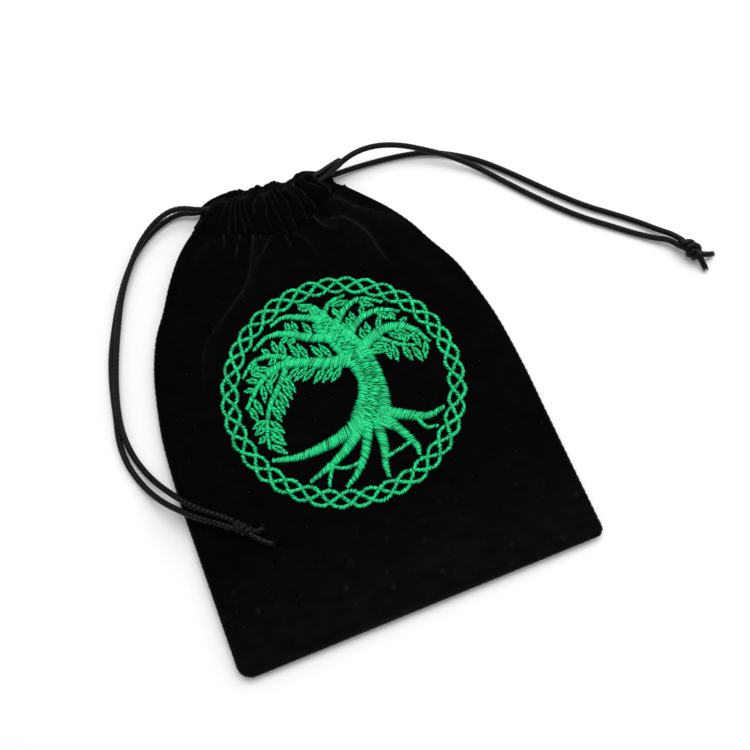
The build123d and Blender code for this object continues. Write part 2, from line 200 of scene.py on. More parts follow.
def tube(path, radius, sides, relief=None):
    """Points and faces of a closed tube without twist. relief gives the height at (length, angle)."""
    path = np.asarray(path, float)
    rings = len(path)
    tangents = unit(np.gradient(path, axis=0))
    sideways = [np.cross(tangents[0], (0.0, 0.0, 1.0))]
    for tangent in tangents:
        sideways.append(unit(sideways[-1] - tangent * (sideways[-1] @ tangent)))
    sideways = np.array(sideways[1:])
    up = np.cross(sideways, tangents)
    angle = np.linspace(0, 2 * math.pi, sides, endpoint=False)
    reach = np.broadcast_to(np.asarray(radius, float).reshape(-1, 1), (rings, sides)).copy()
    if relief is not None:
        reach += relief(distance_along(path)[:, None], angle)
    outward = sideways[:, None, :] * np.cos(angle)[:, None] + up[:, None, :] * np.sin(angle)[:, None]
    points = path[:, None, :] + reach[..., None] * outward
    quads = np.roll(ring_quads(rings, sides)[:, ::-1], 1, axis=1)
    start, last = np.arange(sides), np.arange(sides) + (rings - 1) * sides
    return points.reshape(-1, 3), quads.tolist() + [start[::-1].tolist(), last.tolist()]


def join(parts):
    """One list of points and faces from several."""
    points, faces, start = [], [], 0
    for p, f in parts:
        points.append(p)
        faces.extend([[i + start for i in face] for face in f])
        start += len(p)
    return np.vstack(points), faces


# ---- materials


def grey(level):
    return (level, level, level)


class Finish:
    """A procedural material in object space, with a method for each kind of node it uses."""

    def __init__(self, name):
        self.material = bpy.data.materials.new(name)
        self.material.use_nodes = True
        self.tree = self.material.node_tree
        self.place = self.node("TexCoord").outputs["Object"]

    def feed(self, sockets, values):
        """Link each named socket to an output, or set its own value."""
        for name, value in values.items():
            if isinstance(value, bpy.types.NodeSocket):
                self.tree.links.new(value, sockets[name])
            else:
                sockets[name].default_value = value

    def node(self, kind, values=None, **settings):
        """New node with its settings, and with its inputs linked or set."""
        node = self.tree.nodes.new("ShaderNode" + kind)
        for name, value in settings.items():
            setattr(node, name, value)
        self.feed(node.inputs, values or {})
        return node

    def noise(self, scale, detail, stretch=None):
        source = self.place
        if stretch:
            source = self.node("Mapping", {"Vector": source, "Scale": stretch}).outputs["Vector"]
        return self.node("TexNoise", {"Vector": source, "Scale": scale, "Detail": detail}).outputs["Fac"]

    def spots(self, scale):
        """Distance to the nearest of many scattered spots."""
        return self.node("TexVoronoi", {"Vector": self.place, "Scale": scale}).outputs["Distance"]

    def stored(self, name):
        """Value kept on the mesh's points."""
        return self.node("Attribute", attribute_name=name).outputs["Fac"]

    def multiply(self, first, second):
        return self.node("Math", {0: first, 1: second}, operation="MULTIPLY").outputs["Value"]

    def ramp(self, fac, start, end):
        """Colour that goes from one (place, colour) to another."""
        node = self.node("ValToRGB", {"Fac": fac})
        for stop, (place, colour) in zip(node.color_ramp.elements, (start, end)):
            stop.position = place
            stop.color = (*colour, 1.0)
        return node.outputs["Color"]

    def mix(self, fac, source, colour):
        """A source that turns to a colour where fac is 1."""
        values = {"Factor": fac, "A": source, "B": (*colour, 1.0)}
        return self.node("Mix", values, data_type="RGBA").outputs["Result"]

    def bump(self, height, distance, strength, before=None):
        values = {"Height": height, "Distance": distance, "Strength": strength}
        if before is not None:
            values["Normal"] = before
        return self.node("Bump", values).outputs["Normal"]

    def surface(self, values):
        """Give the shader its sockets' sources and values, and return the material."""
        self.feed(self.tree.nodes["Principled BSDF"].inputs, values)
        return self.material


dust_line = -48.0


def velvet_material():
    """Near-black velvet with painted highlights on its folds, and dust near the bottom."""
    velvet = Finish("velvet")
    patches = velvet.noise(190.0, 8.0)
    pile = velvet.noise(2600.0, 2.0)
    base = velvet.ramp(patches, (0.34, (0.0002, 0.0003, 0.0003)), (0.66, (0.0018, 0.0019, 0.0018)))
    grain = velvet.ramp(pile, (0.35, grey(0.0)), (0.75, grey(1.0)))
    base = velvet.mix(grain, base, (0.0012, 0.0013, 0.0012))

    along = velvet.node("SeparateXYZ", {"Vector": velvet.place}).outputs["Y"]
    reach = {"Value": along, "From Min": dust_line * MM, "From Max": bottom_y * MM}
    low = velvet.node("MapRange", reach).outputs["Result"]
    smears = velvet.ramp(velvet.noise(170.0, 9.0, (1.0, 1.5, 1.0)), (0.36, grey(0.4)), (0.68, grey(1.0)))
    base = velvet.mix(velvet.multiply(low, smears), base, (0.0044, 0.0044, 0.0046))
    specks = velvet.ramp(velvet.spots(260.0), (0.045, grey(1.0)), (0.06, grey(0.0)))
    base = velvet.mix(specks, base, (0.014, 0.014, 0.015))
    clumps = velvet.ramp(velvet.spots(170.0), (0.02, grey(1.0)), (0.24, grey(0.0)))
    torn = velvet.ramp(velvet.noise(800.0, 5.0), (0.44, grey(0.0)), (0.6, grey(1.0)))
    lint = velvet.multiply(low, velvet.multiply(clumps, torn))
    base = velvet.mix(lint, base, (0.017, 0.017, 0.018))

    # Painted highlight: the base colour turns lighter where the mesh's stored crest value marks a fold or
    # rim
    uneven = velvet.ramp(velvet.noise(700.0, 3.0), (0.3, grey(0.35)), (0.65, grey(1.0)))
    painted_fold_highlight = velvet.multiply(velvet.stored("crest"), uneven)
    return velvet.surface({
        "Base Color": velvet.mix(painted_fold_highlight, base, (0.0125, 0.0125, 0.013)),
        "Roughness": velvet.ramp(patches, (0.3, grey(0.78)), (0.7, grey(0.92))),
        "Normal": velvet.bump(velvet.noise(420.0, 2.0), 0.0005, 0.35, velvet.bump(pile, 0.00025, 0.55)),
        "Specular IOR Level": 0.012,
        "Sheen Weight": 0.035,
        "Sheen Roughness": 0.3,
        "Sheen Tint": (0.9, 0.92, 0.95, 1.0),
    })


def thread_material(name, dark, light, roughness, scale, gloss=0.3, strand_dark=None):
    """Sewing thread with fine fibres and small changes of shade."""
    thread = Finish(name)
    colour = thread.ramp(thread.noise(scale, 3.0), (0.38, dark), (0.62, light))
    if strand_dark:
        colour = thread.mix(thread.stored("strand"), colour, strand_dark)
    fibres = thread.noise(6500.0, 2.0, (1.0, 0.3, 1.0))
    return thread.surface({
        "Base Color": colour,
        "Roughness": thread.ramp(fibres, (0.3, grey(roughness - 0.07)), (0.7, grey(roughness + 0.1))),
        "Normal": thread.bump(fibres, 0.00006, 0.5),
        "Specular IOR Level": gloss,
        "Sheen Weight": gloss * 0.1,
    })


def cord_material():
    """Black satin cord: glossy fibres with a slight grey in the light."""
    cord = Finish("black_cord")
    shade = cord.noise(2400.0, 3.0)
    fibres = cord.noise(5200.0, 2.0)
    return cord.surface({
        "Base Color": cord.ramp(shade, (0.42, (0.0004, 0.0004, 0.0005)), (0.7, (0.0065, 0.0065, 0.0066))),
        "Roughness": cord.ramp(fibres, (0.3, grey(0.2)), (0.7, grey(0.36))),
        "Normal": cord.bump(fibres, 0.00008, 0.6),
        "Specular IOR Level": 0.11,
    })


def felt_material():
    """White non-woven stabiliser behind the embroidery."""
    felt = Finish("stabiliser")
    fibres = felt.noise(1500.0, 4.0)
    return felt.surface({
        "Base Color": felt.ramp(fibres, (0.3, (0.55, 0.55, 0.53)), (0.7, (0.8, 0.8, 0.78))),
        "Roughness": 0.9,
        "Normal": felt.bump(fibres, 0.0002, 0.7),
    })


def paper_material():
    """Pale paper that the bag lies on."""
    paper = Finish("floor")
    return paper.surface({
        "Base Color": paper.ramp(paper.noise(900.0, 2.0), (0.3, grey(0.93)), (0.7, grey(0.945))),
        "Roughness": 0.7,
        "Specular IOR Level": 0.2,
    })


# Each slot's material: threads have a dark and a light shade, a roughness and a scale of their shade
materials = {
    "velvet": velvet_material(),
    "green_thread": thread_material("green_thread", (0.002, 0.52, 0.165), (0.008, 0.96, 0.36), 0.34, 2300.0,
                                    strand_dark=(0.0006, 0.17, 0.05)),
    "black_thread": thread_material("black_thread", grey(0.0005), (0.002, 0.002, 0.0021), 0.7, 900.0, 0.02),
    "seam_thread": thread_material("seam_thread", (0.05, 0.035, 0.024), (0.16, 0.115, 0.08), 0.5, 900.0),
    "black_cord": cord_material(),
    "stabiliser": felt_material(),
}

# ---- shape of the bag

# Along the bag: place, left edge, right edge, top of the front, level of the side seams
body_rows = [
    (-86.0, -65.0, 65.2, 7.0, 2.6),
    (-77.0, -65.0, 65.1, 7.3, 2.8),
    (-60.0, -65.0, 65.0, 7.5, 3.0),
    (-40.0, -65.0, 65.0, 7.5, 3.0),
    (-20.0, -65.0, 65.0, 7.5, 3.0),
    (0.0, -64.0, 64.0, 7.5, 3.0),
    (14.0, -61.8, 61.8, 7.5, 3.0),
    (27.0, -58.8, 58.8, 7.5, 3.1),
    (39.0, -54.2, 53.4, 7.7, 3.3),
    (48.0, -48.5, 49.5, 8.4, 3.7),
    (57.0, -43.3, 43.9, 9.6, 4.2),
    (65.0, -37.8, 37.4, 11.0, 4.6),
    (70.0, -33.2, 33.0, 11.8, 4.9),
    (74.5, -27.6, 28.5, 12.2, 5.3),
    (79.0, -23.0, 27.6, 12.3, 6.0),
    (83.0, -22.2, 27.6, 12.3, 7.0),
    (88.0, -22.0, 27.4, 12.3, 7.0),
]
corner_left = 5.0
corner_right = 3.2
back_start = 75.0
hem_wall = 0.9
casing_thickness = 5.0
casing_turn = 2 * math.pi * 0.94

# Valleys between the gathers, from the left edge (-1) to the right (1): place, depth, reach down
valleys = [
    (-1.0, 0.2, 4.0),
    (-0.78, 0.3, 5.0),
    (-0.57, 0.6, 6.0),
    (-0.43, 1.3, 8.0),
    (-0.34, 1.9, 6.0),
    (-0.25, 1.6, 9.0),
    (-0.165, 2.1, 5.0),
    (-0.07, 1.7, 8.0),
    (0.02, 2.2, 6.0),
    (0.10, 1.8, 7.0),
    (0.19, 2.3, 5.0),
    (0.33, 1.7, 6.0),
    (0.47, 1.6, 4.0),
    (0.66, 1.0, 5.0),
    (0.85, 0.5, 4.0),
    (1.0, 0.2, 4.0),
]
# The front casing's stitched line and its rim, and the back casing's rim
stitch_line = [
    (-40.0, 74.6), (-34.0, 74.6), (-28.0, 73.6), (-24.2, 71.6), (-20.4, 68.8), (-17.7, 66.4),
    (-12.0, 64.0), (-6.5, 61.7), (-0.9, 59.7), (4.3, 58.0), (9.8, 59.0), (15.2, 61.8), (20.1, 63.6),
    (24.7, 66.2), (28.0, 69.4), (33.0, 72.5), (40.0, 73.0),
]
front_rim = [
    (-24.0, 79.6), (-20.8, 80.0), (-17.3, 81.2), (-12.7, 80.0), (-8.9, 78.6), (-4.4, 79.4), (-0.4, 78.5),
    (3.5, 78.2), (6.7, 79.6), (8.8, 76.9), (12.0, 77.2), (15.9, 78.2), (19.3, 78.8), (23.0, 78.6),
    (27.0, 77.4), (31.0, 76.0),
]
back_rim = [
    (-24.5, 84.0), (-22.4, 85.2), (-19.9, 86.4), (-16.3, 87.2), (-9.7, 87.3), (-5.2, 86.5), (-4.2, 85.0),
    (-2.0, 85.3), (1.0, 85.8), (3.0, 84.6), (8.0, 84.9), (10.4, 82.8), (14.3, 83.3), (17.5, 85.0),
    (22.1, 84.2), (27.0, 81.6), (31.0, 79.0),
]

# Creases of the front panel: points, height, width on its left and right sides
creases = [
    ([(17.5, 76.8), (21.2, 75.6), (22.9, 72.0), (23.8, 69.0), (29.2, 62.2), (34.2, 57.4), (44.4, 50.6),
      (48.5, 43.0)], 2.1, 3.4, 1.0),
    ([(17.1, 66.6), (16.0, 62.1), (17.3, 56.3), (21.0, 53.4), (25.0, 51.6)], 1.2, 0.9, 1.4),
    ([(17.4, 57.4), (22.0, 57.2), (26.3, 56.0), (31.5, 49.0), (33.6, 40.0), (35.2, 30.5)], 1.9, 2.9, 1.1),
    ([(5.3, 57.9), (8.3, 55.3), (10.6, 50.6), (10.8, 44.5)], 1.0, 1.2, 1.4),
    ([(-5.6, 73.7), (-6.1, 64.4), (-8.6, 59.8), (-12.4, 52.0), (-17.2, 44.2), (-24.5, 38.6), (-33.8, 31.6),
      (-39.2, 26.5), (-43.6, 15.0), (-44.8, 6.0)], 1.5, 1.0, 2.6),
    ([(-1.2, 60.3), (-4.0, 57.0), (-9.5, 51.8), (-15.3, 45.3)], 0.9, 0.9, 1.1),
    ([(-11.4, 68.0), (-13.4, 62.0), (-17.5, 54.9)], 0.9, 0.9, 1.1),
    ([(-22.6, 74.1), (-19.6, 70.0), (-17.9, 66.6), (-19.2, 61.0)], 1.1, 1.0, 1.3),
    ([(-20.0, 65.2), (-24.2, 64.8), (-29.2, 62.9), (-34.0, 58.0)], 1.0, 1.1, 1.5),
    ([(44.0, 38.0), (48.0, 27.0), (51.0, 16.0)], 0.5, 2.2, 3.2),
    ([(-46.0, 44.0), (-51.0, 33.0), (-54.5, 20.0)], 0.45, 2.6, 3.0),
    ([(-13.0, -73.0), (6.0, -75.2), (24.0, -77.0)], 1.4, 1.0, 1.8),
]
# Broad hollows: place, how wide each way, depth
hollows = [
    (17.5, 61.5, 3.2, 2.4, 2.2),
    (27.0, 51.0, 4.0, 3.0, 0.9),
    (-26.0, 48.0, 7.0, 8.0, 0.8),
    (3.0, 46.0, 9.0, 5.0, 0.8),
    (-55.0, -77.0, 6.0, 5.0, 0.6),
    (56.0, -76.0, 6.0, 5.0, 0.6),
    (0.0, -78.0, 24.0, 5.0, 0.3),
]


def row_value(y, column):
    return lookup([(row[0], row[column]) for row in body_rows], y)


def corner_cut(y, radius):
    """How far a rounded lower corner cuts into its side."""
    inside = np.clip(radius - (y - bottom_y), 0, radius)
    return radius - np.sqrt(radius ** 2 - inside ** 2)


def left_edge(y):
    return row_value(y, 1) + corner_cut(y, corner_left)


def right_edge(y):
    return row_value(y, 2) - corner_cut(y, corner_right)


def seam_level(y):
    return row_value(y, 4)


def span(y):
    """Middle and half width of the bag at a place along it."""
    left, right = left_edge(y), right_edge(y)
    return (left + right) / 2, (right - left) / 2


def rounding(share, power):
    """1 in the middle of a pillow shape, and 0 at its edge, where the share is 1."""
    return np.sqrt(np.clip(1 - share ** power, 0, 1))


def swell(index, climb):
    """How much deeper or shallower each gather is, up the casing."""
    return 0.62 + 0.38 * np.sin(2.3 * index + 4.4 * climb)


def gathers(x, y, start):
    """Depth of the gathers at a place, deepest at the stitched line and above it."""
    below = np.maximum(start - y, 0)
    middle, half = span(y)
    spot = (x - middle) / half
    climb = np.clip((y - start) / 14.0, 0, 1)
    spot = spot + 0.03 * (np.sin(4.0 * climb + 7.0 * spot) - np.sin(7.0 * spot))
    places, depths, reaches = np.array(valleys).T
    index = np.clip(np.searchsorted(places, spot) - 1, 0, len(places) - 2)
    share = np.clip((spot - places[index]) / (places[index + 1] - places[index]), 0, 1)
    crest = np.power(np.clip(1 - (2 * share - 1) ** 2, 0, 1), 0.62)
    near, far = (depths[number] * np.exp(-(below / reaches[number]) ** 1.25) * swell(number, climb)
                 for number in (index, index + 1))
    return (1 - crest) * (near + (far - near) * ease(share))


def ripple(x, y, amount=1.0):
    """Slow unevenness of soft cloth."""
    made = 0.22 * np.sin(0.075 * x + 0.041 * y + 0.6) * np.sin(0.052 * y - 0.033 * x + 1.1)
    made += 0.12 * np.sin(0.19 * x - 0.07 * y + 2.0) * np.sin(0.13 * y + 0.05 * x)
    made += 0.05 * np.sin(0.43 * x + 0.31 * y) * np.sin(0.37 * y - 0.29 * x + 0.8)
    return amount * made


def crease_height(x, y):
    """Sum of the creases at a place."""
    total = np.zeros_like(x)
    for points, height, left_width, right_width in creases:
        line = smooth_line(points, 10)
        step = unit(np.gradient(line, axis=0))
        near = (x > line[:, 0].min() - 14) & (x < line[:, 0].max() + 14)
        near &= (y > line[:, 1].min() - 14) & (y < line[:, 1].max() + 14)
        if not near.any():
            continue
        dx = x[near][:, None] - line[:, 0]
        dy = y[near][:, None] - line[:, 1]
        away = np.hypot(dx, dy)
        best = away.argmin(1)
        pick = np.arange(len(best))
        cross = step[best, 0] * dy[pick, best] - step[best, 1] * dx[pick, best]
        width = np.where(cross > 0, right_width, left_width)
        along = best / (len(line) - 1)
        body = height * np.power(np.clip(np.sin(math.pi * (0.04 + 0.92 * along)), 0, 1), 0.7)
        gap = np.sqrt(away[pick, best] ** 2 + 0.09) - 0.3
        total[near] += body * np.exp(-np.power(np.maximum(gap, 0) / width, 1.15))
    return total


def hollow_depth(x, y):
    total = np.zeros_like(x)
    for cx, cy, wide, long, depth in hollows:
        total += depth * np.exp(-((x - cx) / wide) ** 2 - ((y - cy) / long) ** 2)
    return total


def calm(x, y):
    """0 under the embroidery, which holds the cloth flat, and 1 away from it."""
    return ease((np.hypot(x - motif_x, y - motif_y) - 44.0) / 9.0)


def front_level(x, y, folds=True):
    """Height of the front panel's outer side."""
    middle, half = span(y)
    power = 5.2 - 3.0 * ease((y - 35.0) / 35.0)
    across = rounding(np.clip(np.abs(x - middle) / half, 0, 1), power)
    cover = across * rounding(1 - np.clip((y - bottom_y) / 20.0, 0, 1), 4)
    seam = seam_level(y)
    level = seam + (row_value(y, 3) - seam) * cover
    if not folds:
        return level
    soft = np.power(cover, 1.5)
    loose = calm(x, y)
    level = level + soft * loose * (ripple(x, y) + crease_height(x, y) - hollow_depth(x, y))
    start = lookup(stitch_line, x)
    depth = gathers(x, y, start) * ease((y - 30) / 12) * loose
    pinch = 0.3 * np.exp(-((y - start) / 1.6) ** 2) * (y < start + 4)
    return level - soft * (depth + pinch)


def back_level(x, y):
    """Height of the back panel's outer side, flat on the table."""
    middle, half = span(y)
    across = rounding(np.clip(np.abs(x - middle) / half, 0, 1), 9)
    cover = across * rounding(1 - np.clip((y - bottom_y) / 12.0, 0, 1), 5)
    folds = gathers(x, y, back_start + 0 * x) * ease((y - 45) / 15) * 0.5
    return np.maximum(seam_level(y) * (1 - cover), 0.0) + cover * folds * ease((y - 45) / 25)


# Rows of the panels, as shares of their length: closer at the bottom seam and on the folded neck
row_shares = np.concatenate([
    np.linspace(0.0, 0.05, 16, endpoint=False),
    np.linspace(0.05, 0.7, 62, endpoint=False),
    np.linspace(0.7, 1.0, 118),
])
# Places of the columns from the left edge (-1) to the right (1), closer at the edges
spread = np.linspace(-1, 1, 231)
spread = 0.45 * np.sin(spread * math.pi / 2) + 0.55 * spread


def panel_points(level, end_line):
    """Grid of a panel's outer side from the bottom seam to its stitched line."""
    share = row_shares[:, None]
    start = bottom_y + 0.05
    y = start + share * (64.0 - bottom_y) + 0 * spread
    for _ in range(3):
        middle, half = span(y)
        x = middle + half * spread
        y = start + share * (lookup(end_line, x) - bottom_y)
    return np.stack([x, y, level(x, y)], -1)


# Swellings of the front casing: place across, place round it, width of each, height
casing_swells = [
    (0.62, 2.5, 0.10, 0.32, 1.7),
    (0.60, 2.95, 0.09, 0.2, -2.4),
    (0.44, 2.3, 0.05, 0.8, -0.9),
    (0.30, 1.6, 0.12, 0.8, 0.7),
    (-0.75, 1.5, 0.2, 0.9, 0.5),
    (0.86, 2.0, 0.12, 0.8, -1.3),
]


def casing_points(panel_end, rim, level, outward, swells, drop):
    """Grid of a casing: from the stitched line over the rim and back inside it."""
    turn = np.linspace(0, casing_turn, 71)[:, None]
    start_y, start_z = panel_end[:, 1], panel_end[:, 2]
    rim_middle, rim_half = span(80.0)
    rim_y = lookup(rim, rim_middle + rim_half * spread)
    share = (1 - np.cos(turn)) / 2
    y = start_y + (rim_y - start_y) * share
    middle, half = span(y)
    x = middle + half * spread

    # The casing sinks and flattens towards its two ends
    edge = np.abs(spread) ** np.where(spread < 0, 3.2, 5.0)
    low = level - drop * edge
    low = np.minimum(low, np.maximum(start_z + 3.0, low - 3.0))
    centre = start_z + (low - start_z) * ease(share * (1.9 - 0.9 * edge))
    puff = np.sign(np.sin(turn)) * np.power(np.abs(np.sin(turn)), 0.75 + 1.1 * edge)
    puff = puff * casing_thickness / 2 * (1 - 0.8 * edge)
    outer = np.clip(np.sin(turn) * 2.0, 0, 1) - 0.4 * np.clip(-np.sin(turn) * 2.0, 0, 1)
    fold = gathers(x, y, start_y + 0 * turn)
    z = centre + outward * (puff - fold * outer)
    for place, around, wide, long, height in swells:
        z = z + height * np.exp(-((spread - place) / wide) ** 2 - ((turn - around) / long) ** 2)
    if outward > 0:
        z = z + np.clip(np.sin(turn) * 1.5, 0, 1) * (crease_height(x, y) + ripple(x, y, 0.6))
        raised = np.maximum(z - np.maximum(start_z, 6.0), 0)
        x = x - np.sign(spread) * spread ** 4 * 0.5 * raised * ease(share * 3)
    y = y - 0.45 * fold * np.exp(-((turn - math.pi) / 0.8) ** 2)
    return np.stack([x, y, np.maximum(z, 0.02)], -1)


# ---- floor, lights, world


floor_level = -0.0002


def make_stage():
    """Pale floor, even light from all round, and two soft lamps."""
    mesh = bpy.data.meshes.new("floor")
    reach = ((-3.0, -3.0), (3.0, -3.0), (3.0, 3.0), (-3.0, 3.0))
    mesh.from_pydata([(x, y, floor_level) for x, y in reach], [], [(0, 1, 2, 3)])
    mesh.materials.append(paper_material())
    add_object("floor", mesh)
    world = bpy.data.worlds.new("studio")
    bpy.context.scene.world = world
    world.use_nodes = True
    background = world.node_tree.nodes["Background"]
    background.inputs["Color"].default_value = (1.0, 1.0, 1.0, 1.0)
    background.inputs["Strength"].default_value = 0.55
    bpy.context.scene.view_settings.view_transform = "Standard"
    for name, place, size, power in (
        ("light_key", (0.66, 0.30, 0.66), 0.95, 3.5),
        ("light_top", (0.18, 0.28, 1.1), 0.9, 6.4),
    ):
        data = bpy.data.lights.new(name, "AREA")
        data.shape = "DISK"
        data.size = size
        data.energy = power
        light = add_object(name, data)
        light.location = place
        light.rotation_mode = "QUATERNION"
        light.rotation_quaternion = (Vector((0.02, 0.0, 0.0)) - Vector(place)).to_track_quat("-Z", "Y")


make_stage()

# ---- cords

cord_diameter = 2.2
back_z = 2.65
front_z = 12.15


def route_path(name, points):
    """Centreline of a cord, read from a spline with the route's points as control points."""
    curve = bpy.data.curves.new(name + "_route", "CURVE")
    curve.dimensions = "3D"
    curve.resolution_u = 64
    spline = curve.splines.new("NURBS")
    spline.points.add(len(points) - 1)
    for point, place in zip(spline.points, points):
        point.co = (place[0] * MM, place[1] * MM, place[2] * MM, 1.0)
    spline.order_u = 3
    spline.use_endpoint_u = True
    holder = add_object(name + "_route", curve)
    bpy.context.view_layer.update()
    mesh = bpy.data.meshes.new_from_object(holder.evaluated_get(bpy.context.evaluated_depsgraph_get()))
    path = np.array([v.co for v in mesh.vertices], float) / MM
    bpy.data.objects.remove(holder)
    bpy.data.curves.remove(curve)
    bpy.data.meshes.remove(mesh)
    return path


def braid(depth, carriers, pitch):
    """Relief of a braided cord."""
    def relief(length, angle):
        one = np.cos(carriers * angle + 2 * math.pi * length / pitch)
        two = np.cos(carriers * angle - 2 * math.pi * length / pitch + 1.3)
        return depth * (np.maximum(one, two) - 1.0)
    return relief


def cord_tube(path, radius=cord_diameter / 2, sides=32, depth=0.12):
    return tube(path, radius, sides, braid(depth, 5, 1.75))


left_back_route = [
    (1.6, 81.7, back_z), (-10.7, 82.2, back_z), (-23.2, 82.7, back_z), (-30.6, 86.7, 1.5),
    (-40.7, 84.0, 1.2), (-50.2, 77.3, 1.2), (-57.4, 68.5, 1.2), (-63.0, 58.9, 1.2),
    (-67.9, 48.7, 1.2), (-72.0, 38.7, 1.2), (-74.8, 28.0, 1.2), (-76.7, 17.0, 1.2),
    (-78.6, 7.0, 1.2), (-78.1, -1.8, 1.2), (-75.7, -9.9, 1.3), (-72.6, -16.4, 3.2),
    (-69.0, -22.0, 6.2), (-64.3, -27.3, 8.2), (-59.4, -31.9, 8.6), (-54.9, -35.1, 9.4), (-51.3, -38.7, 10.0),
]
left_front_route = [
    (1.6, 75.8, front_z - 1.6), (-10.7, 76.9, front_z - 1.4), (-21.6, 79.7, 8.6), (-30.2, 85.2, 8.2),
    (-39.0, 83.6, 7.4), (-48.0, 77.8, 5.3), (-54.8, 69.4, 4.6), (-60.6, 60.4, 4.2),
    (-65.1, 50.0, 3.6), (-69.4, 39.0, 3.4), (-72.9, 28.0, 3.2), (-75.4, 17.5, 3.0),
    (-76.3, 8.5, 2.2), (-75.2, 0.0, 1.3), (-73.0, -6.8, 1.4), (-70.2, -12.7, 3.2),
    (-66.9, -18.4, 6.2), (-62.7, -24.3, 8.4), (-58.3, -29.1, 8.8), (-53.1, -33.3, 9.6), (-49.5, -36.9, 10.0),
]
right_back_route = [
    (5.6, 78.6, back_z), (17.6, 78.9, back_z), (29.8, 78.9, back_z), (38.5, 79.3, 1.8),
    (47.5, 79.0, 1.2), (57.5, 77.8, 1.2), (67.0, 75.6, 1.2), (76.2, 70.7, 1.2),
    (84.8, 64.2, 1.2), (92.3, 56.0, 1.2), (99.3, 47.4, 1.2), (106.5, 38.7, 1.2),
    (113.8, 30.6, 1.2), (121.6, 23.8, 1.2), (128.8, 17.2, 1.2), (134.8, 10.2, 1.9),
    (138.4, 6.1, 2.9), (140.5, 2.3, 2.9),
]
right_front_route = [
    (5.6, 71.4, front_z - 0.3), (17.6, 71.8, front_z - 0.4), (28.4, 76.6, 8.8), (37.2, 80.5, 9.8),
    (46.6, 80.8, 10.4), (57.0, 78.8, 8.0), (66.7, 73.9, 5.4), (75.2, 67.6, 4.4),
    (83.0, 60.8, 2.0), (89.8, 52.0, 1.2), (96.8, 42.6, 1.2), (103.8, 34.0, 1.2),
    (111.2, 26.0, 1.2), (118.8, 19.3, 1.2), (126.2, 12.6, 1.2), (132.2, 7.6, 1.9),
    (136.1, 4.9, 2.9), (138.2, 1.1, 2.9),
]


def knot_frame(back_route, front_route):
    """Start, direction and side of the knot at the end of two strands."""
    end = (np.array(back_route[-1]) + np.array(front_route[-1])) / 2
    before = (np.array(back_route[-2]) + np.array(front_route[-2])) / 2
    along = unit((end - before) * (1.0, 1.0, 0.0))
    return end, along, np.array((-along[1], along[0], 0.0))


upward = np.array((0.0, 0.0, 1.0))
knot_turns = 1.12
knot_steps = 12


def knot_parts(end, along, side, shape):
    """Overhand knot in the doubled cord: in through the core, round the outside, and out."""
    long, reach, thick, turn, tilt, lift = shape
    parts = []
    for strand in (-1, 1):
        local = [(-1.6, strand * 1.1, 0.0), (0.4, strand * 0.85, -0.2), (long * 0.5, strand * 0.7, -0.4),
                 (long - 1.8, strand * 0.6, -0.5)]
        for step in range(knot_steps + 1):
            share = step / knot_steps
            angle = turn + 2 * math.pi * knot_turns * share
            fat = reach * (1.0 + 0.1 * math.sin(math.pi * share))
            place = long - 2.6 - (long - 4.4) * share + strand * thick * 0.45 + tilt * math.cos(angle + 0.6)
            local.append((place, fat * math.cos(angle), fat * math.sin(angle) * 0.92))
        local += [(2.4, 0.6 * strand, 0.7), (long * 0.6, 0.6 * strand, 0.6),
                  (long + 0.3, strand * 0.75, 0.1)]
        points = [end + along * u + side * v + upward * (w + lift * ease(u / 3)) for u, v, w in local]
        path = route_path("knot", points)[::4]
        share = np.linspace(0, 1, len(path))
        fullness = 2.0 + (thick - 2.0) * ease((share - 0.12) / 0.16) * ease((0.95 - share) / 0.16)
        parts.append(cord_tube(path, fullness / 2, 22, 0.05))
    return parts


def tail_parts(end, along, side, shapes, seed):
    """Two cut ends with frayed fibres."""
    maker = np.random.default_rng(seed)
    parts = []
    for bends in shapes:
        points = [end + along * u + side * v + upward * w for u, v, w in bends]
        path = route_path("tail", points)[::5]
        parts.append(cord_tube(path, sides=20, depth=0.08))
        tip, way = path[-1], unit(path[-1] - path[-6])
        across = np.cross(way, upward)
        over = np.cross(across, way)
        for _ in range(26):
            angle = maker.uniform(0, 2 * math.pi)
            sideways = across * math.cos(angle) + over * math.sin(angle)
            root = tip + sideways * 0.95 * math.sqrt(maker.uniform(0, 1)) - way * 0.5
            out = sideways * maker.uniform(0.0, 0.7)
            long = maker.uniform(0.8, 1.9)
            t = np.linspace(0, 1, 5)[:, None]
            hair = root + way * long * t + out * t ** 2 * 1.2 + upward * (maker.uniform(-0.3, 0.2) * t ** 2)
            hair[:, 2] = np.maximum(hair[:, 2], 0.2)
            parts.append(tube(hair, np.linspace(0.09, 0.05, 5), 5))
    return parts


def make_strand(name, node, route, body):
    """A stretch of cord along its route."""
    path = route_path(name, route)
    piece = mesh_piece(name, node, *cord_tube(path), "black_cord", body)


def make_cord(side_name, routes, exits, lengths, shape, tails, seed):
    """The back and front strands, the knot that joins them and their cut tails."""
    body = side_name + "_drawcord"
    end, along, side = knot_frame(*routes)
    knot = mesh_piece(side_name + "_overhand_knot", side_name + "_knot",
                      *join(knot_parts(end, along, side, shape)), "black_cord", body)
    cut_ends = mesh_piece(side_name + "_frayed_tails", side_name + "_cord_tails",
                          *join(tail_parts(end, along, side, tails, seed)), "black_cord", body)
    for label, route, exit_place, length, extra in zip(
            ("back", "front"), routes, exits, lengths, ([knot, cut_ends], [])):
        make_strand(f"{side_name}_{label}_strand", f"{side_name}_cord_{label}_strand", route, body)


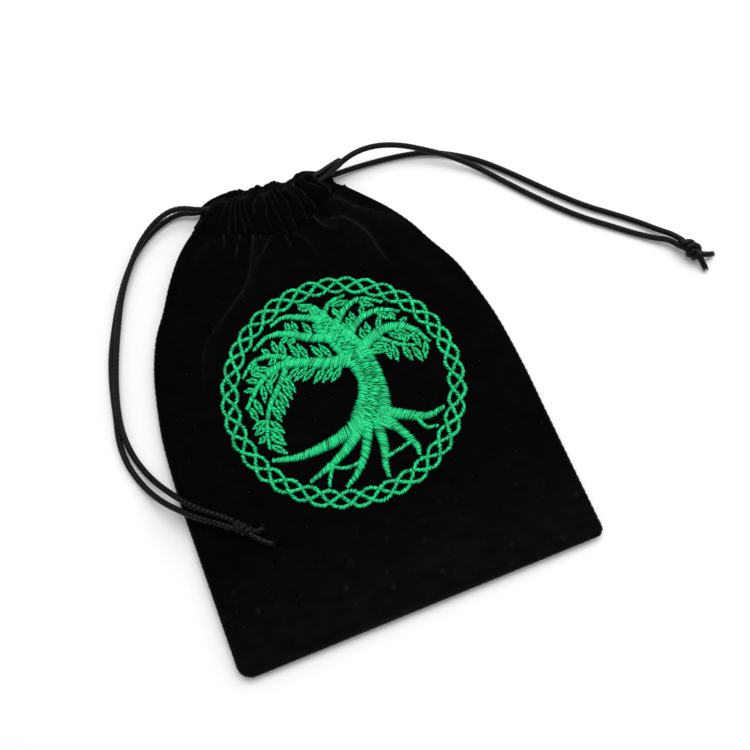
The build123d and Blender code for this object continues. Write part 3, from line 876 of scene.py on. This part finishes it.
# A knot's length, reach, thickness, first angle, tilt and lift; and its tails' bends, from the knot's start
make_cord("left", (left_back_route, left_front_route),
          ((-22.4, 82.7, back_z), (-22.4, 79.3, front_z)), (188.7, 185.7), (8.0, 1.4, 2.2, 0.4, 0.4, 0.0),
          [[(6.4, 0.5, 0.4), (8.2, 0.9, 0.6), (9.4, 1.8, 0.7), (9.9, 2.9, 0.6)],
           [(6.4, -0.5, 0.0), (9.0, -0.8, 0.0), (11.8, -1.0, -0.6), (15.0, -0.4, -1.3)]], 5)
make_cord("right", (right_back_route, right_front_route),
          ((29.6, 78.9, back_z), (29.6, 76.0, front_z)), (166.5, 166.8), (9.6, 1.9, 2.6, 2.0, 0.9, 0.45),
          [[(8.0, 0.8, 0.1), (9.4, 1.9, 0.0), (10.4, 3.0, -0.7), (10.9, 4.3, -1.5)],
           [(8.0, -0.7, 0.1), (9.4, -1.2, 0.0), (10.8, -1.7, -0.8), (12.3, -2.2, -1.5)]], 6)

# Each cord's fixed turn comes out of one casing at the far end and goes into the other
turn_drop = (front_z - back_z) / 3
left_turn_route = [
    (2.0, 81.4, back_z), (14.1, 80.9, back_z), (30.2, 82.2, back_z), (33.6, 81.7, back_z + turn_drop),
    (33.6, 80.9, front_z - turn_drop - 0.8), (28.6, 79.4, 8.4), (17.1, 74.3, front_z), (2.0, 74.4, front_z),
]
right_turn_route = [
    (5.2, 78.6, back_z), (-8.9, 78.4, back_z), (-20.6, 78.4, back_z), (-24.0, 77.8, back_z + 2.2),
    (-23.4, 76.2, back_z + 4.4), (-19.6, 74.2, front_z - 4.0), (-8.9, 71.4, front_z - 0.9),
    (8.6, 71.4, front_z - 0.5),
]
make_strand("left_cord_loop", "left_cord_turn", left_turn_route, "bag")
make_strand("right_cord_loop", "right_cord_turn", right_turn_route, "bag")

# ---- bag cloth


def painted_crest_highlight(points):
    """Painted highlight on the front panel's soft creases and along its bottom edge."""
    x, y = points[..., 0], points[..., 1]
    soft = calm(x, y) * np.clip(crease_height(x, y) / 2.2, 0, 1)
    # Painted highlight: a thin bright line along the bottom edge
    seam = np.exp(-((y - bottom_y) / 1.1) ** 2) * (0.2 + 0.4 * np.exp(-((x + 15.0) / 25.0) ** 2))
    return np.maximum(0.42 * soft ** 1.4, seam)


def cloth(name, node, outer, offset, facing=1):
    """Velvet with its outer side on a grid and its inner side at an offset. Facing -1 is face down."""
    sheet = closed_sheet(outer[:, ::facing], (outer - facing * offset)[:, ::facing])
    return mesh_piece(name, node, *sheet, "velvet")


def make_bag():
    """Two velvet panels with their casings, each a closed sheet."""
    front = panel_points(front_level, stitch_line)
    x, y = front[..., 0], front[..., 1]
    plain = np.stack([x, y, front_level(x, y, False)], -1)
    front_velvet = cloth("front_velvet", "front_panel", front, grid_normals(plain) * wall)
    # Painted highlights on the front panel's folds, creases and bottom edge
    paint_crest_highlights(front_velvet, front, 0.2, 1.0, painted_crest_highlight(front))
    back = panel_points(back_level, [(-60.0, back_start), (60.0, back_start)])
    back_velvet = cloth("back_velvet", "back_panel", back, grid_normals(back) * wall, -1)

    hem = casing_points(front[-1], front_rim, 12.4, 1, casing_swells, 5.2)
    front_hem = cloth("front_hem", "front_casing", hem, grid_normals(hem) * hem_wall)
    turn = np.linspace(0, casing_turn, len(hem))[:, None]
    # Painted highlight: a bright line along the front casing's rim, plus painted highlights on its folds
    painted_rim_highlight = np.exp(-((turn - 2.2) / 0.11) ** 2) * (0.5 + 0.4 * np.sin(0.8 * hem[..., 0] + 0.5))
    paint_crest_highlights(front_hem, hem, 0.42, 1.7, painted_rim_highlight)
    hem = casing_points(back[-1], back_rim, 2.7, -1, [], 0.8)
    back_hem = cloth("back_hem", "back_casing", hem, grid_normals(hem) * hem_wall, -1)
    return front, back


front_grid, back_grid = make_bag()

# ---- stitches and embroidery


def threads(runs, radius, sides=6):
    """Points and faces of many short threads. runs holds each thread's centreline."""
    runs = np.asarray(runs, float)
    count, steps = runs.shape[:2]
    along = unit(np.gradient(runs, axis=1))
    side = unit(np.cross(along, (0.0, 0.0, 1.0)))
    up = np.cross(side, along)
    taper = np.full(steps, 1.0)
    taper[0] = taper[-1] = 0.55
    angle = np.linspace(0, 2 * math.pi, sides, endpoint=False)
    ring = side[:, :, None, :] * np.cos(angle)[:, None] + up[:, :, None, :] * np.sin(angle)[:, None]
    points = runs[:, :, None, :] + (radius * taper)[:, None, None] * ring
    starts = np.arange(count) * steps * sides
    faces = (ring_quads(steps, sides) + starts[:, None, None]).reshape(-1, 4).tolist()
    for start in starts.tolist():
        last = start + (steps - 1) * sides
        faces.append(list(range(start, start + sides)))
        faces.append(list(range(last + sides - 1, last - 1, -1)))
    return points.reshape(-1, 3), faces


def even(line, step):
    """Points evenly spaced along a line, with their shares of its length."""
    gone = distance_along(line)
    at = np.linspace(0, gone[-1], max(int(gone[-1] / step), 2))
    return np.stack([np.interp(at, gone, line[:, k]) for k in range(line.shape[1])], -1), at / gone[-1]


stitch_radius = 0.225
stitch_step = 0.42
stitch_steps = 5


def laid_stitches(first, second, lift):
    """Centrelines of stitches from one edge to the other, arched over the cloth."""
    first = first + rng.normal(0, 0.12, first.shape)
    second = second + rng.normal(0, 0.12, second.shape)
    t = np.linspace(0, 1, stitch_steps)
    flat = first[:, None, :] * (1 - t)[:, None] + second[:, None, :] * t[:, None]
    length = np.linalg.norm(second - first, axis=1)
    x, y = flat[..., 0] + motif_x, flat[..., 1] + motif_y
    arch = np.power(np.sin(math.pi * t), 0.5) * (0.26 + 0.05 * np.minimum(length, 5.0))[:, None]
    uneven = rng.normal(0, 0.045, (len(x), 1))
    z = front_level(x, y, False) + arch + np.asarray(lift).reshape(-1, 1) + uneven
    return np.stack([x, y, z - 0.06], -1)


def stitch_places(line, widths):
    """Even places along a line: middle, width, way and side of each, and share of the length."""
    at = np.linspace(0, 1, len(line))
    width = np.interp(at, np.linspace(0, 1, len(widths)), widths)
    spots, share = even(np.column_stack([line, width]), stitch_step)
    way = unit(np.gradient(spots[:, :2], axis=0))
    return spots[:, :2], spots[:, 2:3], way, np.column_stack([-way[:, 1], way[:, 0]]), share


def column(line, widths, slant, lift):
    """Satin column: slanted stitches from side to side of a line, with a width at each point."""
    middle, width, way, side, share = stitch_places(line, widths)
    if not np.isscalar(lift):
        gone = distance_along(line)
        lift = np.interp(share * gone[-1], gone, lift)
    half = (side + way * slant) * width / 2
    return laid_stitches(middle + half, middle - half, lift)


def lanes(line, widths, count):
    """Fill stitching: rows side by side, with their ends staggered like bricks."""
    middle, width, way, side, share = stitch_places(line, widths)
    stagger = rng.uniform(-0.42, 0.42, (len(middle), 1))
    made = []
    for lane in range(count):
        low = lane / count + (stagger / count if lane > 0 else 0)
        high = (lane + 1) / count + (stagger / count if lane < count - 1 else 0)
        across = (side + way * 0.22) * width
        made.append(laid_stitches(middle + across * (low - 0.5), middle + across * (high - 0.5), 0.12))
    return np.concatenate(made)


def embroidery(name, node, runs):
    """A part of the embroidery, with its own shade for each stitch."""
    runs = np.concatenate(runs)
    points, faces = threads(runs, stitch_radius)
    piece = mesh_piece(name, node, points, faces, "green_thread")
    shade = rng.uniform(0, 1, len(runs)) ** 2.4 * 0.85
    store(piece, "strand", np.repeat(shade, len(points) // len(runs)))


ring_radius = 40.0
ring_swing = 2.8
ring_lobes = 12
ring_width = 1.15
field_radius = ring_radius - ring_swing - 1.1


def ring_runs():
    """Three strands of the plaited ring, passing over and under each other."""
    made = []
    for strand in range(3):
        angle = np.linspace(0, 2 * math.pi, 1440)
        wave = ring_lobes * angle + 2 * math.pi * strand / 3
        radius = ring_radius + ring_swing * np.sin(wave)
        line = np.column_stack([radius * np.cos(angle), radius * np.sin(angle)])
        lift = 0.16 + 0.22 * np.sin(2 * wave)
        made.append(column(line, [ring_width, ring_width], 0.55, lift))
    return made


# A generic tree about the ring's centre: each limb and root has a line and its width at both ends
trunk_line = [(4.5, -15.5), (8.6, -8.0), (10.4, 0.0), (9.2, 9.0), (6.4, 17.0), (3.2, 24.5), (0.6, 33.5)]
trunk_widths = [15.0, 11.5, 9.2, 10.2, 9.6, 7.4, 3.0]
limbs = [
    ([(6.0, 9.0), (-3.0, 11.5), (-11.0, 15.0), (-19.0, 16.5), (-27.0, 12.5), (-34.0, 5.5)], 5.4, 1.2),
    ([(-11.0, 15.5), (-18.0, 20.5), (-25.5, 21.5), (-31.5, 17.0)], 2.4, 1.1),
    ([(5.0, 19.0), (-4.0, 22.5), (-11.0, 27.0), (-18.0, 28.5), (-24.5, 25.5)], 4.2, 1.1),
    ([(2.5, 27.5), (-4.0, 31.0), (-10.5, 33.5), (-15.5, 32.0)], 3.0, 1.0),
    ([(1.2, 31.0), (0.5, 34.0), (-3.5, 35.9)], 2.2, 1.0),
    ([(9.5, 10.0), (17.0, 14.5), (25.0, 15.5), (31.5, 11.5), (35.0, 5.0)], 5.2, 1.2),
    ([(8.0, 17.0), (14.0, 22.0), (22.0, 23.5), (29.5, 20.0)], 3.8, 1.1),
    ([(5.5, 22.5), (11.0, 28.0), (18.0, 30.0), (25.0, 25.8)], 3.0, 1.1),
    ([(3.0, 28.0), (7.0, 32.5), (13.0, 33.4)], 2.4, 1.0),
    ([(-15.0, 16.0), (-20.5, 9.5), (-26.5, 3.0), (-30.0, -4.5), (-31.5, -11.0)], 2.4, 1.1),
    ([(17.5, 14.6), (23.5, 8.8), (30.0, 5.5)], 2.2, 1.1),
]
roots = [
    ([(3.0, -12.0), (-6.0, -16.0), (-15.0, -17.5), (-24.0, -17.5), (-32.0, -15.5)], 5.5, 1.4),
    ([(2.0, -14.0), (-6.0, -20.5), (-14.0, -24.5), (-22.5, -27.5)], 4.4, 1.3),
    ([(3.5, -15.0), (-1.0, -24.0), (-6.0, -30.0), (-11.5, -33.8)], 4.0, 1.3),
    ([(6.5, -15.0), (5.5, -25.0), (3.5, -31.0), (3.0, -35.8)], 4.0, 1.3),
    ([(9.0, -14.5), (13.5, -23.0), (16.0, -29.0), (15.5, -32.3)], 3.8, 1.3),
    ([(9.0, -12.5), (17.0, -17.5), (24.0, -20.5), (30.0, -19.5)], 4.8, 1.4),
    ([(-13.0, -24.0), (-16.0, -29.0), (-17.0, -31.5)], 1.5, 1.1),
    ([(-3.0, -27.0), (-9.0, -27.5), (-14.0, -25.2)], 1.3, 1.1),
    ([(4.5, -29.0), (10.0, -28.0), (15.0, -26.8)], 1.3, 1.1),
    ([(19.5, -18.8), (21.5, -24.0), (25.5, -25.2)], 1.5, 1.1),
]
leaf_lengths = [6.2, 5.0, 3.9, 3.0]    # the longest that fits is used
leaf_width = 2.1
leaf_step = 3.0
leaf_angle = math.radians(52)
leaf_gap = 0.5


def gap_to_line(x, y, line):
    """Distance from a point to a line of points."""
    best = math.inf
    for (ax, ay), (bx, by) in zip(line, line[1:]):
        run = (bx - ax) ** 2 + (by - ay) ** 2
        share = ((x - ax) * (bx - ax) + (y - ay) * (by - ay)) / run
        share = min(1.0, max(0.0, share))
        best = min(best, math.hypot(x - ax - share * (bx - ax), y - ay - share * (by - ay)))
    return best


def leaf_fits(x, y, own, leaves):
    """Whether a leaf may reach a point: clear of the ring, the trunk, other limbs and other leaves."""
    if math.hypot(x, y) > field_radius - 0.6:
        return False
    if gap_to_line(x, y, trunk_line) < 6.0 - 0.12 * max(0.0, y - 5.0):
        return False
    for number, (line, start, finish) in enumerate(limbs):
        if number != own and gap_to_line(x, y, line) < 0.3 * start + 0.8:
            return False
    for foot_x, foot_y, lean, length in leaves:
        middle_x = foot_x + length / 2 * math.cos(lean)
        middle_y = foot_y + length / 2 * math.sin(lean)
        if math.hypot(x - middle_x, y - middle_y) < leaf_width + 0.2:
            return False
    return True


def leaf_places():
    """Leaves in pairs along the limbs: foot, direction and length of each."""
    leaves = []
    for own, (line, start, finish) in enumerate(limbs):
        for index, (before, after) in enumerate(zip(line, line[1:])):
            angle = math.atan2(after[1] - before[1], after[0] - before[0])
            count = max(1, round(math.dist(before, after) / leaf_step))
            for step in range(count):
                share = (step + 0.5) / count
                half = (start + (finish - start) * (index + share) / (len(line) - 1)) / 2
                for side in (1, -1):
                    lean = angle + side * leaf_angle
                    x = before[0] + share * (after[0] - before[0]) + (half + leaf_gap) * math.cos(lean)
                    y = before[1] + share * (after[1] - before[1]) + (half + leaf_gap) * math.sin(lean)
                    for length in leaf_lengths:
                        if all(leaf_fits(x + reach * math.cos(lean), y + reach * math.sin(lean), own, leaves)
                               for reach in (length, length / 2)):
                            leaves.append((x, y, lean, length))
                            break
    return leaves


def inside_field(line):
    return line[np.hypot(line[:, 0], line[:, 1]) < field_radius]


def strokes(lines):
    return [column(inside_field(smooth_line(line, 14)), [start, finish], 0.4, 0.04)
            for line, start, finish in lines]


def leaf_runs():
    """Leaves of two curved halves, with a vein between them."""
    made = []
    for x, y, lean, length in leaf_places():
        foot = np.array((x, y))
        way = np.array((math.cos(lean), math.sin(lean)))
        over = np.array((-way[1], way[0]))
        for half in (1, -1):
            bow = over * half * leaf_width * 0.3
            points = [foot, foot + way * length * 0.28 + bow, foot + way * length * 0.62 + bow * 0.95,
                      foot + way * length]
            made.append(column(smooth_line(points, 8), [0.4, 0.95, 1.05, 0.85, 0.3], 0.5, 0.0))
    return made


embroidery("ring_stitches", "embroidery_ring", ring_runs())
embroidery("trunk_stitches", "embroidery_trunk", [lanes(smooth_line(trunk_line, 16), trunk_widths, 3)])
embroidery("branch_stitches", "embroidery_branches", strokes(limbs))
embroidery("root_stitches", "embroidery_roots", strokes(roots))
embroidery("leaf_stitches", "embroidery_leaves", leaf_runs())


def make_backing():
    """Stabiliser cut by hand to a rough disc, against the front panel's inner side."""
    rings, spokes = 24, 96
    reach = np.linspace(0, 1, rings)[:, None]
    angle = np.linspace(0, 2 * math.pi, spokes, endpoint=False)[None, :]
    edge = 44.6 + 0.35 * np.sin(5 * angle + 0.5) + 0.2 * np.sin(11 * angle)
    radius = 0.4 + reach * (edge - 0.4)
    x, y = motif_x + radius * np.cos(angle), motif_y + radius * np.sin(angle)
    z = front_level(x, y, False) - wall - 0.12
    top = np.stack([x, y, z], -1).reshape(-1, 3)
    points = np.vstack([top, top - (0, 0, 0.3)])
    count = rings * spokes
    upper = ring_quads(rings, spokes)
    edge = np.arange(count - spokes, count)
    after = np.roll(edge, -1)
    rim = np.stack([edge, edge + count, after + count, after], -1)
    faces = upper.tolist() + (upper[:, ::-1] + count).tolist() + rim.tolist()
    hole = np.arange(spokes)
    faces += [hole.tolist(), (hole[::-1] + count).tolist()]
    piece = mesh_piece("stabiliser_disc", "embroidery_backing", points, faces, "stabiliser")


make_backing()

seam_radius = 0.2
seam_arch = 0.12


def stitch_arcs(line, long, gap):
    """Centrelines of running stitches that lie on a line and dip at their ends."""
    spots, share = even(line, 0.1)
    total = distance_along(spots)[-1]
    t = np.linspace(0, 1, 7)
    arch = seam_arch * np.power(np.sin(math.pi * t), 0.5) - 0.08
    made = []
    for index in range(int(total / (long + gap))):
        at = (index * (long + gap) + t * long) / total
        points = np.column_stack([np.interp(at, share, spots[:, k]) for k in range(3)])
        points[:, 2] += arch
        made.append(points)
    return made


def make_seams():
    """Thread that shows in the groove round the bag, and the stitched lines of the casings."""
    def seam_line(x, y):
        return np.column_stack([x, y, seam_level(y)])

    y = np.linspace(bottom_y + 6, 70.0, 500)
    low_y = np.linspace(bottom_y + 0.3, bottom_y + 6, 40)[::-1]
    left = seam_line(left_edge(y) + 0.02, y)
    right = seam_line(right_edge(y) - 0.02, y)
    low_left = seam_line(left_edge(low_y), low_y)
    low_right = seam_line(right_edge(low_y), low_y)[::-1]
    across = np.linspace(low_left[-1, 0], low_right[0, 0], 700)[1:-1]
    middle = seam_line(across, bottom_y + 0 * across)
    bottom = np.vstack([low_left, middle, low_right])
    front_line = front_grid[-1][8:-8]
    back_line = back_grid[-1][8:-8] + (0, 0, wall + 0.15)
    for label, line in (("left", left), ("right", right), ("bottom", bottom)):
        stitches = threads(stitch_arcs(line, 2.0, 0.35), seam_radius)
        mesh_piece(label + "_seam_stitches", label + "_seam_thread", *stitches, "seam_thread")
    for label, line in (("front", front_line), ("back", back_line)):
        stitches = threads(stitch_arcs(line, 1.9, 0.7), seam_radius)
        mesh_piece(label + "_hem_stitches", label + "_casing_stitches", *stitches, "black_thread")


make_seams()
